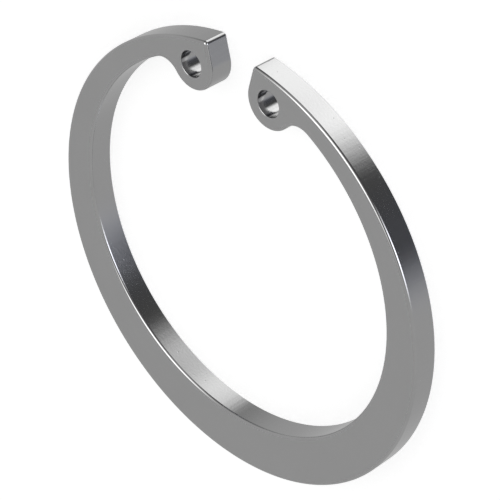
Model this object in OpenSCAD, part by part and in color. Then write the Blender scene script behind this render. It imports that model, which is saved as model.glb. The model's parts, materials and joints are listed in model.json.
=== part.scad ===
// Internal retaining ring, stamped from spring steel strip. It lies flat on the
// floor plane with its rounded face up, the rim's centre on the Z axis and the
// gap towards +Y. Sizes are in millimetres, for the ring as it is when free.

/* [Ring] */
// Outside diameter of the free ring
free_d = 45.5; // [43:0.5:52]
// Thickness of the strip that it is stamped from
stock_t = 2.5; // [1.5:0.25:3.5]
// Radial width of the ring opposite the gap
back_w = 5.35; // [3.5:0.05:6.5]
// Radial width that the ring narrows to at the lugs
tip_w = 1.85; // [1.4:0.05:2.6]

/* [Lugs] */
// Radial height of each lug, from the rim inwards
lug_h = 5.15; // [4.6:0.05:5.8]
// Diameter of the plier hole in each lug
hole_d = 2.55; // [1.5:0.05:3]
// Gap between the lugs where they come closest
lug_gap = 4.4; // [3.5:0.05:5.5]
// Gap between the end faces where they meet the rim
mouth_gap = 5.8; // [5.2:0.05:7]
// Radius of the bay between each lug and the ring
bay_r = 2.05; // [1:0.05:3.5]

/* [Edges] */
// Radius that stamping leaves on the edge of the upper face
edge_r = 0.3; // [0.1:0.05:0.3]
// Radius on the upper edge of each plier hole
hole_edge_r = 0.1; // [0.05:0.05:0.2]
// Radius of each corner between an end face and the rim
corner_r = 0.35; // [0.35:0.05:0.8]

/* [Hidden] */
$fn = 144;

rim_r = free_d / 2;
inner_r = (free_d - back_w - tip_w) / 2;
lug_r = lug_h / 2;
// How far a cut runs past what it cuts
over = 1;
// How deep surfaces that flow into each other cross, so that they never just graze
cross = 0.002;

// Centre of the inner edge, off the rim's centre so that the ring tapers
inner_c = [0, rim_r - tip_w - inner_r];

// Centre of the lug's round end, which touches the rim from inside
lug_x = lug_gap / 2 + lug_r;
lug_c = [lug_x, sqrt((rim_r - lug_r)^2 - lug_x^2)];

// Centre of the bay, which touches the lug from outside and the inner edge from inside
bay_reach = inner_r - bay_r;
inner_to_lug = lug_c - inner_c;
bay_swing = acos((inner_to_lug * inner_to_lug + bay_reach^2 - (lug_r + bay_r)^2)
    / (2 * norm(inner_to_lug) * bay_reach));
bay_angle = heading(inner_to_lug) - bay_swing;
bay_c = inner_c + bay_reach * along(bay_angle);

// End face, a straight line from the mouth of the gap that touches the lug's round end
mouth_c = [mouth_gap / 2, sqrt(rim_r^2 - (mouth_gap / 2)^2)];
mouth_to_lug = lug_c - mouth_c;
face_angle = heading(mouth_to_lug) - asin(lug_r / norm(mouth_to_lug));
face_out = face_angle + 270;

// Centre of the corner, which touches the end face and the rim from inside
corner_start = mouth_c - corner_r * along(face_out);
corner_fall = corner_start * along(face_angle);
corner_run = -corner_fall
    - sqrt(corner_fall^2 - corner_start * corner_start + (rim_r - corner_r)^2);
corner_c = corner_start + corner_run * along(face_angle);

// Middle of the strip beside the bay, the lug, the corner and the end face
mid_r = rim_r - tip_w / 2;
beside_bay = mid_r * along(heading(inner_c + inner_r * along(bay_angle)));
beside_lug = mid_r * along(heading(lug_c));
beside_corner = mid_r * along(heading(corner_c));
beside_face = mouth_c + tip_w / 2 * along(face_angle);

// Direction of a point from the origin, and a unit step in a direction
function heading(p) = atan2(p.y, p.x);
function along(angle) = [cos(angle), sin(angle)];

// Repeats a shape on the other side of the gap
module both_sides() {
    children();
    mirror([1, 0, 0]) children();
}

// What a rounded edge takes away, drawn from the centre of its arc
module edge_waste(r) {
    difference() {
        square([r, 2 * over]);
        circle(r);
    }
}

// Half section of a disc with its upper edge rounded
module disc_section(r, below = 0) {
    difference() {
        translate([0, -below]) square([r, stock_t + below]);
        translate([r - edge_r, stock_t - edge_r + cross]) edge_waste(edge_r);
    }
}

// Straight sided block of the strip
module block(outline) {
    linear_extrude(stock_t) polygon(outline);
}

// Cuts a round opening and rounds its upper edge
module opening_cut(r, edge) {
    rotate_extrude() {
        translate([0, -over]) square([r, stock_t + 2 * over]);
        translate([r + edge, stock_t - edge + cross]) mirror([1, 0]) edge_waste(edge);
    }
}

// Cuts the gap from an end face to past the middle, and rounds the face's upper edge
module gap_cut() {
    past_middle = 0.7 * mouth_gap;
    translate(mouth_c - cross * along(face_out)) rotate(face_out) rotate([90, 0, 0])
        linear_extrude(2 * lug_h, center = true) {
            translate([0, -over]) square([past_middle, stock_t + 2 * over]);
            translate([-edge_r, stock_t - edge_r + cross]) edge_waste(edge_r);
        }
}

// Cuts the corner between an end face and the rim to its radius
module corner_cut() {
    to_rim = heading(corner_c);
    reach = 2 * corner_r;
    translate(corner_c) difference() {
        translate([0, 0, -over]) linear_extrude(stock_t + 2 * over) polygon([
            [0, 0],
            reach * along(to_rim),
            reach * (along(to_rim) + along(face_out)),
            reach * along(face_out)
        ]);
        rotate_extrude() disc_section(corner_r + cross, below = 2 * over);
    }
}

// Tapering band with the gap cut through it, and the shoulders behind the end faces
module band() {
    difference() {
        union() {
            difference() {
                rotate_extrude() disc_section(rim_r);
                translate(inner_c) opening_cut(inner_r, edge_r);
            }
            both_sides() block([
                lug_c,
                beside_lug,
                beside_corner,
                beside_face + over * along(face_out),
                lug_c + (lug_r + over) * along(face_out)
            ]);
        }
        both_sides() {
            gap_cut();
            corner_cut();
        }
    }
}

// Round end of a lug, which runs on a little into the shoulder and the neck
module round_end() {
    run_on = 25;
    sweep = heading(bay_c - lug_c) + 360 - face_out;
    translate(lug_c) rotate(face_out - run_on) rotate_extrude(angle = sweep + 2 * run_on)
        disc_section(lug_r);
}

// Neck between a lug and the band, hollowed by the bay
module neck() {
    difference() {
        block([bay_c, beside_bay, beside_lug, lug_c]);
        translate(bay_c) opening_cut(bay_r + cross, edge_r);
    }
}

module ring() {
    color("#8d8d90") difference() {
        union() {
            band();
            both_sides() {
                round_end();
                neck();
            }
        }
        both_sides() translate(lug_c) opening_cut(hole_d / 2, hole_edge_r);
    }
}

ring();
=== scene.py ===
import cmath
import json
import math
from collections import namedtuple

import bpy
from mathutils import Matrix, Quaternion, Vector
from mathutils.geometry import tessellate_polygon


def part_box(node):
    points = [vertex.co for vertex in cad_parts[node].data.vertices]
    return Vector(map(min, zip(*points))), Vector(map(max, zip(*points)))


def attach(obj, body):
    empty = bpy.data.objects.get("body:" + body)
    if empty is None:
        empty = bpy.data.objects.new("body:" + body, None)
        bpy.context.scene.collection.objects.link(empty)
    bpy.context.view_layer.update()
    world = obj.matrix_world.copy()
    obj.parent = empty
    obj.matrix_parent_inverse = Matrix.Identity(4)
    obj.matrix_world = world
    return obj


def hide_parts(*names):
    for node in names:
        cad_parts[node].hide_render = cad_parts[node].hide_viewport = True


# The looks of an internal retaining ring: one piece of satin spring steel that lies flat on a
# pale floor. The frame is in metres, and the sizes named here are in millimetres.
MM = 0.001

# Sizes of the ring that the frame doesn't say, as in the part's source
BACK_WIDTH = 5.35
TIP_WIDTH = 1.85
MOUTH_GAP = 5.8
BAY_RADIUS = 2.05
CORNER_RADIUS = 0.35
EDGE_RADIUS = 0.3
HOLE_EDGE_RADIUS = 0.1
# Radius that tumbling leaves on the edges of the underside
UNDER_EDGE_RADIUS = 0.04

# How finely the mesh follows the shape: degrees a step on long and on short arcs, steps along
# an end face, and steps round an upper and a lower edge
LONG_STEP = 0.5
SHORT_STEP = 3
END_FACE_STEPS = 12
ROUNDING_STEPS = 8
UNDER_STEPS = 3

# The photograph's viewing angle, seen by a camera that is turned on its side: its target and
# distance in millimetres, its angles in degrees, and its lens, sensor and near limit
VIEW_TARGET = (2.658, 3.278, 2.51)
VIEW_AZIMUTH = 45.09
VIEW_ELEVATION = 35.284
VIEW_ROLL = -119.984
VIEW_DISTANCE = 189.806
LENS = 150.84
SENSOR = 36
VIEW_START = 10

# Steel: its deepest and brightest tone, its tone of the painted shade in the plier holes, and how
# rough it is from bright to dull, on the walls that the die burnishes and on the satin faces
STEEL_DEEP = (0.545, 0.545, 0.545, 1)
STEEL_BRIGHT = (0.605, 0.605, 0.605, 1)
STEEL_PAINTED_SHADE = (0.3, 0.3, 0.305, 1)
WALL_ROUGHNESS = (0.08, 0.16)
FACE_ROUGHNESS = (0.45, 0.55)

# Size of its grain, clouds, shear marks and pits, and how deep they are, in millimetres
GRAIN_SIZE = 0.22
GRAIN_DEPTH = 0.0025
CLOUD_SIZE = 4
SHEAR_SIZE = 0.35
SHEAR_DEPTH = 0.0045
# Shear marks run down the walls, so their noise hardly changes along Z
SHEAR_STRETCH = (1, 1, 0.06)
PIT_SPACING = 0.8
PIT_RADIUS = 0.09
PIT_DEPTH = 0.006

# How much each kind of mark brightens the steel, and how much each makes it rougher
Marks = namedtuple("Marks", "grain clouds shear burnish pits")
BRIGHTENING = Marks(grain=0.35, clouds=0.4, shear=0.25, burnish=0.5, pits=-0.6)
ROUGHENING = Marks(grain=0.3, clouds=0.45, shear=0.35, burnish=-0.6, pits=0.6)
# Clouds between which the edges go from dull to burnished
BURNISH_FROM, BURNISH_TO = 0.25, 0.6
# Share of the die's burnish at which the walls' roundings go over into the satin faces, and how
# much the satin takes from the brightening
SATIN_FROM, SATIN_TO = 0.2, 0
SATIN_SHADE = -0.15
# Painted shade at which the plier holes' walls go from bare to fully shaded
HOLE_SHADE_FROM, HOLE_SHADE_TO = 0.7, 0.9

# Soft grey of the studio's walls, the strength of the white light that falls on the floor, and
# how brightly the floor is lit from below, like a light table. Together they make it just white.
STUDIO_GREY = 0.465
FLOOR_LIGHT = 0.47
FLOOR_GLOW = 0.62
FLOOR_COLOUR = (0.9, 0.9, 0.9, 1)
# Width of the floor, and radius of the studio's walls, in metres
FLOOR_WIDTH = 1.5
STUDIO_RADIUS = 3
WHITE = (1, 1, 1, 1)
# Cool tint of a part of the studio's walls
COOL_TINT = (0.955, 0.98, 1.09, 1)

# Light and dark panels on the studio's walls: where they are and how large, in degrees, how far
# their edges fade, and how bright they are beside white
Panel = namedtuple("Panel", "azimuth elevation width height soft brightness")
DARK_CORNER = Panel(azimuth=50, elevation=-50, width=75, height=130, soft=20, brightness=0.08)
DARK_CURTAIN = Panel(azimuth=120, elevation=-10, width=45, height=45, soft=45, brightness=0)
LOW_LAMP = Panel(azimuth=95, elevation=-60, width=45, height=50, soft=25, brightness=2)
HIGH_LAMP = Panel(azimuth=75, elevation=60, width=50, height=35, soft=25, brightness=2.5)
SIDE_LAMP = Panel(azimuth=15, elevation=-5, width=25, height=35, soft=25, brightness=3)
DARK_BOARD = Panel(azimuth=30, elevation=30, width=45, height=35, soft=35, brightness=0.1)
LOW_GLOW = Panel(azimuth=230, elevation=-75, width=80, height=100, soft=15, brightness=0.5)
SPOT_LAMP = Panel(azimuth=115, elevation=-40, width=20, height=15, soft=15, brightness=1.5)
# The panels in the order in which they are painted, each over those before it
PANELS = (DARK_CORNER, DARK_CURTAIN, LOW_LAMP, HIGH_LAMP, SIDE_LAMP, DARK_BOARD, LOW_GLOW,
          SPOT_LAMP)
# Where the cool tint is, laid out like a panel, with the tint's full strength as brightness
COOL_PART = Panel(azimuth=15, elevation=-35, width=35, height=90, soft=30, brightness=1)

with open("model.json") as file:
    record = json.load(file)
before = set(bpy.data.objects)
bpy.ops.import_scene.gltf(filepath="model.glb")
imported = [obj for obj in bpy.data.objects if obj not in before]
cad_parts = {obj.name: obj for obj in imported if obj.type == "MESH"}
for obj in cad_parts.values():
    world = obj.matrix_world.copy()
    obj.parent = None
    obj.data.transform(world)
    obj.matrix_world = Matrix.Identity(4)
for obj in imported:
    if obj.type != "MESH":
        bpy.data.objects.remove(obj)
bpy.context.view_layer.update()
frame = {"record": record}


def along(angle):
    """Unit step in the ring's plane, as a complex number, in a direction in degrees from +X."""
    return cmath.rect(1, math.radians(angle))


def heading(point):
    """Direction of a point of the ring's plane from the origin, in degrees."""
    return math.degrees(cmath.phase(point))


def dot(a, b):
    """Dot product of two steps in the ring's plane."""
    return (a * b.conjugate()).real


def arc(centre, radius, start, end, step):
    """Points of an arc, each with the metal's outward normal. A clockwise arc is hollow."""
    count = math.ceil(abs(end - start) / step)
    side = 1 if end > start else -1
    turns = [along(start + (end - start) * i / count) for i in range(count)]
    return [(centre + radius * turn, side * turn) for turn in turns]


def line(start, end, normal, count):
    """Points of a straight edge, each with the metal's outward normal."""
    return [(start + (end - start) * i / count, normal) for i in range(count)]


def mount(name):
    """The record's mount of that name."""
    return next(m for m in frame["record"]["mounts"] if m["name"] == name)


def ring_outline(rim_radius, hole):
    """The ring's outline, anticlockwise round the metal, as points with their outward normals."""
    inner_radius = rim_radius - (BACK_WIDTH + TIP_WIDTH) / 2
    inner_centre = (rim_radius - TIP_WIDTH - inner_radius) * 1j
    lug_radius = rim_radius - abs(hole)

    bay_reach = inner_radius - BAY_RADIUS
    to_lug = hole - inner_centre
    swing_cosine = (abs(to_lug) ** 2 + bay_reach ** 2 - (lug_radius + BAY_RADIUS) ** 2) \
        / (2 * abs(to_lug) * bay_reach)
    bay_angle = heading(to_lug) - math.degrees(math.acos(swing_cosine))
    bay = inner_centre + bay_reach * along(bay_angle)

    mouth = complex(MOUTH_GAP / 2, math.sqrt(rim_radius ** 2 - (MOUTH_GAP / 2) ** 2))
    mouth_to_lug = hole - mouth
    face_swing = math.degrees(math.asin(lug_radius / abs(mouth_to_lug)))
    face_angle = heading(mouth_to_lug) - face_swing
    face_out = face_angle + 270
    corner_start = mouth - CORNER_RADIUS * along(face_out)
    corner_reach = rim_radius - CORNER_RADIUS
    fall = dot(corner_start, along(face_angle))
    run = -fall - math.sqrt(fall ** 2 - abs(corner_start) ** 2 + corner_reach ** 2)
    corner = corner_start + run * along(face_angle)

    outwards = along(face_out)
    face_start = corner + CORNER_RADIUS * outwards
    face_end = hole + lug_radius * outwards
    half = arc(0, rim_radius, -90, heading(corner), LONG_STEP)
    half += arc(corner, CORNER_RADIUS, heading(corner), face_out, SHORT_STEP)
    half += line(face_start, face_end, outwards, END_FACE_STEPS)
    half += arc(hole, lug_radius, face_out, heading(bay - hole) + 360, SHORT_STEP)
    half += arc(bay, BAY_RADIUS, heading(hole - bay), bay_angle, SHORT_STEP)
    half += arc(inner_centre, inner_radius, bay_angle, -90, LONG_STEP)
    half.append((inner_centre - inner_radius * 1j, 1j))
    other_half = [(-p.conjugate(), -n.conjugate()) for p, n in reversed(half[1:-1])]
    return half + other_half


def hole_outline(centre, radius):
    """A plier hole's outline, clockwise, so that its normals point into the hole."""
    return arc(centre, radius, 360, 0, SHORT_STEP)


def wall_profile(thickness, top_radius):
    """A wall's section from the underside up, as insets, heights and tilts of the normal."""
    section = []
    for i in range(UNDER_STEPS + 1):
        tilt = math.pi / 2 * (i / UNDER_STEPS - 1)
        section.append((UNDER_EDGE_RADIUS * (1 - math.cos(tilt)),
                        UNDER_EDGE_RADIUS * (1 + math.sin(tilt)), tilt))
    for i in range(ROUNDING_STEPS + 1):
        tilt = math.pi / 2 * i / ROUNDING_STEPS
        section.append((top_radius * (1 - math.cos(tilt)),
                        thickness - top_radius * (1 - math.sin(tilt)), tilt))
    return section


class Skin:
    """Vertices with their exact normals, and faces, of the mesh that is being built."""

    def __init__(self):
        self.points, self.normals, self.faces = [], [], []
        # For each point, how much tumbling rubs it, how much it is on a wall that the die
        # sheared, and how much painted shade darkens it
        self.wear, self.sheared, self.hole_shade = [], [], []

    def wall(self, outline, profile, hole_shade=0):
        """Sweeps a wall's section round an outline, and returns its first and last row of indices.
        The last argument is how much painted shade darkens the wall at its top."""
        first = len(self.points)
        count = len(outline)
        top_height = profile[-1][1]
        for inset, height, tilt in profile:
            for point, normal in outline:
                place = point - inset * normal
                level = math.cos(tilt) * normal
                self.points.append((place.real * MM, place.imag * MM, height * MM))
                self.normals.append((level.real, level.imag, math.sin(tilt)))
                self.wear.append(math.sin(2 * abs(tilt)))
                self.sheared.append(math.cos(tilt))
                # Painted shade, strongest at the top of a plier hole's wall
                self.hole_shade.append(hole_shade * height / top_height * math.cos(tilt))
        for row in range(len(profile) - 1):
            for i in range(count):
                a = first + row * count + i
                b = first + row * count + (i + 1) % count
                self.faces.append((a, b, b + count, a + count))
        last = first + (len(profile) - 1) * count
        return range(first, first + count), range(last, last + count)

    def cap(self, loops, up):
        """Closes the face between an outline and its holes."""
        rows = [[Vector(self.points[i]) for i in loop] for loop in loops]
        indices = [i for loop in loops for i in loop]
        for triangle in tessellate_polygon(rows):
            a, b, c = (Vector(self.points[indices[i]]) for i in triangle)
            faces_up = (b - a).cross(c - a).z > 0
            corners = triangle if faces_up == up else reversed(triangle)
            self.faces.append(tuple(indices[i] for i in corners))


def build_ring():
    """The ring as one fine mesh with exact normals, in place of the frame's own node."""
    low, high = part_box("ring")
    rim_radius = (high.x - low.x) / 2 / MM
    thickness = (high.z - low.z) / MM
    bore = mount("plier_hole_right")
    hole = complex(bore["pos_m"][0], bore["pos_m"][1]) / MM
    hole_radius = bore["dims"]["r_mm"]

    skin = Skin()
    edges = [skin.wall(ring_outline(rim_radius, hole), wall_profile(thickness, EDGE_RADIUS))]
    hole_profile = wall_profile(thickness, HOLE_EDGE_RADIUS)
    for centre in (hole, -hole.conjugate()):
        # The plier holes' walls get painted shade towards their top
        edges.append(skin.wall(hole_outline(centre, hole_radius), hole_profile, hole_shade=1))
    skin.cap([under for under, upper in edges], up=False)
    skin.cap([upper for under, upper in edges], up=True)

    mesh = bpy.data.meshes.new("circlip")
    mesh.from_pydata(skin.points, [], skin.faces)
    shares = {"wear": skin.wear, "sheared": skin.sheared, "hole_shade": skin.hole_shade}
    for name, values in shares.items():
        mesh.attributes.new(name, "FLOAT", "POINT").data.foreach_set("value", values)
    mesh.shade_smooth()
    mesh.normals_split_custom_set_from_vertices(skin.normals)
    ring = bpy.data.objects.new("circlip", mesh)
    bpy.context.scene.collection.objects.link(ring)
    return ring


def add_floor():
    """Plain pale floor. The ring doesn't mirror it, so its walls show the studio."""
    bpy.ops.mesh.primitive_plane_add(size=FLOOR_WIDTH)
    floor = bpy.context.object
    floor.name = "floor"
    material = bpy.data.materials.new("pale_floor")
    material.use_nodes = True
    shader = material.node_tree.nodes["Principled BSDF"]
    shader.inputs["Base Color"].default_value = FLOOR_COLOUR
    shader.inputs["Roughness"].default_value = 1
    shader.inputs["Specular IOR Level"].default_value = 0
    shader.inputs["Emission Color"].default_value = WHITE
    shader.inputs["Emission Strength"].default_value = FLOOR_GLOW
    floor.data.materials.append(material)
    floor.visible_glossy = False


class Nodes:
    """Builds a shader's node tree out of short calls."""

    def __init__(self, tree):
        self.tree = tree

    def add(self, kind, *inputs, **settings):
        """Adds a node. Each input is a value or a node's output, and None leaves it as it is."""
        node = self.tree.nodes.new(kind)
        for name, value in settings.items():
            setattr(node, name, value)
        for socket, value in zip(node.inputs, inputs):
            if isinstance(value, bpy.types.NodeSocket):
                self.tree.links.new(value, socket)
            elif value is not None:
                socket.default_value = value
        return node.outputs[0]

    def math(self, operation, *inputs):
        """Result of an operation on numbers."""
        return self.add("ShaderNodeMath", *inputs, operation=operation)

    def dot(self, a, b):
        """Dot product of two vectors."""
        node = self.add("ShaderNodeVectorMath", a, b, operation="DOT_PRODUCT").node
        return node.outputs["Value"]

    def ramp(self, value, start, end, low=0.0, high=1.0):
        """Goes smoothly from low to high as the value goes from start to end."""
        return self.add("ShaderNodeMapRange", value, start, end, low, high,
                        interpolation_type="SMOOTHSTEP")

    def mix(self, share, a, b):
        """Number between a and b."""
        return self.add("ShaderNodeMix", share, None, a, b, data_type="FLOAT")

    def mix_colour(self, share, a, b):
        """Colour between a and b."""
        unused = [None] * 5
        node = self.add("ShaderNodeMix", share, *unused, a, b, data_type="RGBA").node
        return node.outputs[2]

    def sum(self, *terms):
        """Adds up values, each times its own weight."""
        total = 0
        for value, weight in terms:
            total = self.math("MULTIPLY_ADD", value, weight, total)
        return total

    def noise(self, place, size, detail):
        """Soft noise from 0 to 1, with features of about that size in millimetres."""
        return self.add("ShaderNodeTexNoise", place, None, 1 / (size * MM), detail)

    def dots(self, place, spacing, radius):
        """Small scattered dots, 1 in their middle, both sizes in millimetres."""
        away = self.add("ShaderNodeTexVoronoi", place, None, 1 / (spacing * MM))
        return self.ramp(away, radius / spacing, 0)

    def attribute(self, name):
        """A number that the mesh holds at its points."""
        return self.add("ShaderNodeAttribute", attribute_name=name).node.outputs["Fac"]

    def link(self, value, socket):
        """Feeds a node's output into a shader's socket."""
        self.tree.links.new(value, socket)


def steel():
    """Satin spring steel, with tumbled grain, shear marks down the walls and burnished edges."""
    material = bpy.data.materials.new("satin_spring_steel")
    material.use_nodes = True
    shader = material.node_tree.nodes["Principled BSDF"]
    shader.inputs["Metallic"].default_value = 1
    nodes = Nodes(material.node_tree)

    place = nodes.add("ShaderNodeTexCoord").node.outputs["Object"]
    upright = nodes.add("ShaderNodeVectorMath", place, SHEAR_STRETCH, operation="MULTIPLY")
    grain = nodes.noise(place, GRAIN_SIZE, detail=3)
    clouds = nodes.noise(place, CLOUD_SIZE, detail=2)
    streaks = nodes.noise(upright, SHEAR_SIZE, detail=4)
    sheared = nodes.attribute("sheared")
    shear = nodes.math("MULTIPLY", streaks, sheared)
    pits = nodes.dots(place, PIT_SPACING, PIT_RADIUS)
    rubbed = nodes.ramp(clouds, BURNISH_FROM, BURNISH_TO)
    burnish = nodes.math("MULTIPLY", nodes.attribute("wear"), rubbed)
    marks = Marks(grain, clouds, shear, burnish, pits)
    satin = nodes.ramp(sheared, SATIN_FROM, SATIN_TO)

    tone = nodes.sum(*zip(marks, BRIGHTENING), (satin, SATIN_SHADE))
    # Painted shade darkens the tops of the plier holes' walls
    painted_shade = nodes.ramp(nodes.attribute("hole_shade"), HOLE_SHADE_FROM, HOLE_SHADE_TO)
    bare = nodes.mix_colour(tone, STEEL_DEEP, STEEL_BRIGHT)
    nodes.link(nodes.mix_colour(painted_shade, bare, STEEL_PAINTED_SHADE), shader.inputs["Base Color"])

    rub = nodes.sum(*zip(marks, ROUGHENING))
    roughness = nodes.mix(satin, nodes.mix(rub, *WALL_ROUGHNESS), nodes.mix(rub, *FACE_ROUGHNESS))
    nodes.link(roughness, shader.inputs["Roughness"])

    relief = nodes.sum((grain, GRAIN_DEPTH), (shear, SHEAR_DEPTH), (pits, -PIT_DEPTH))
    bump = nodes.tree.nodes.new("ShaderNodeBump")
    bump.inputs["Strength"].default_value = 1
    bump.inputs["Distance"].default_value = MM
    nodes.link(relief, bump.inputs["Height"])
    nodes.link(bump.outputs["Normal"], shader.inputs["Normal"])
    return material


def sight(azimuth, elevation):
    """Unit vector in a direction given in degrees."""
    a, e = math.radians(azimuth), math.radians(elevation)
    return Vector((math.cos(a) * math.cos(e), math.sin(a) * math.cos(e), math.sin(e)))


def paint(nodes, direction, light, panel):
    """Paints one panel on the studio's walls, and returns their light with it."""
    middle = sight(panel.azimuth, panel.elevation)
    across = sight(panel.azimuth + 90, 0)
    over = middle.cross(across)
    ahead = nodes.dot(direction, middle)
    mask = None
    for axis, size in ((across, panel.width), (over, panel.height)):
        off = nodes.math("ABSOLUTE", nodes.math("ARCTAN2", nodes.dot(direction, axis), ahead))
        outer = math.radians((size + panel.soft) / 2)
        inner = math.radians((size - panel.soft) / 2)
        edge = nodes.ramp(off, outer, inner)
        mask = edge if mask is None else nodes.math("MULTIPLY", mask, edge)
    return nodes.mix(mask, light, panel.brightness)


def add_studio():
    """Walls of the studio, which only mirrors see: soft grey, with bright and dark panels and a
    cool tint in one part."""
    bpy.ops.mesh.primitive_uv_sphere_add(segments=64, ring_count=32, radius=STUDIO_RADIUS)
    walls = bpy.context.object
    walls.name = "studio_walls"
    material = bpy.data.materials.new("studio_walls")
    material.use_nodes = True
    material.cycles.emission_sampling = "NONE"
    tree = material.node_tree
    tree.nodes.clear()
    nodes = Nodes(tree)
    place = nodes.add("ShaderNodeTexCoord").node.outputs["Object"]
    direction = nodes.add("ShaderNodeVectorMath", place, operation="NORMALIZE")
    light = STUDIO_GREY
    for panel in PANELS:
        light = paint(nodes, direction, light, panel)
    tint = nodes.mix_colour(paint(nodes, direction, 0, COOL_PART), WHITE, COOL_TINT)
    emission = nodes.add("ShaderNodeEmission", tint, light)
    output = tree.nodes.new("ShaderNodeOutputMaterial")
    tree.links.new(emission, output.inputs["Surface"])
    walls.data.materials.append(material)
    walls.visible_camera = walls.visible_diffuse = walls.visible_shadow = False
    walls.visible_transmission = walls.visible_volume_scatter = False


def add_world():
    """Even white light from all round."""
    world = bpy.data.worlds.new("studio")
    bpy.context.scene.world = world
    world.use_nodes = True
    background = world.node_tree.nodes["Background"]
    background.inputs["Color"].default_value = WHITE
    background.inputs["Strength"].default_value = FLOOR_LIGHT


def add_camera():
    """Camera at the photograph's viewing angle."""
    camera = bpy.data.objects.new("camera", bpy.data.cameras.new("camera"))
    bpy.context.scene.collection.objects.link(camera)
    bpy.context.scene.camera = camera
    camera.data.lens = LENS
    camera.data.sensor_width = SENSOR
    camera.data.clip_start = VIEW_START * MM
    back = sight(VIEW_AZIMUTH, VIEW_ELEVATION)
    camera.location = (Vector(VIEW_TARGET) + VIEW_DISTANCE * back) * MM
    camera.rotation_mode = "QUATERNION"
    upright = (-back).to_track_quat("-Z", "Y")
    camera.rotation_quaternion = upright @ Quaternion((0, 0, 1), math.radians(VIEW_ROLL))


add_camera()
add_world()
add_floor()
add_studio()
ring = build_ring()
ring.data.materials.append(steel())
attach(ring, "root")
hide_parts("ring")
bpy.context.scene.view_settings.view_transform = "Standard"
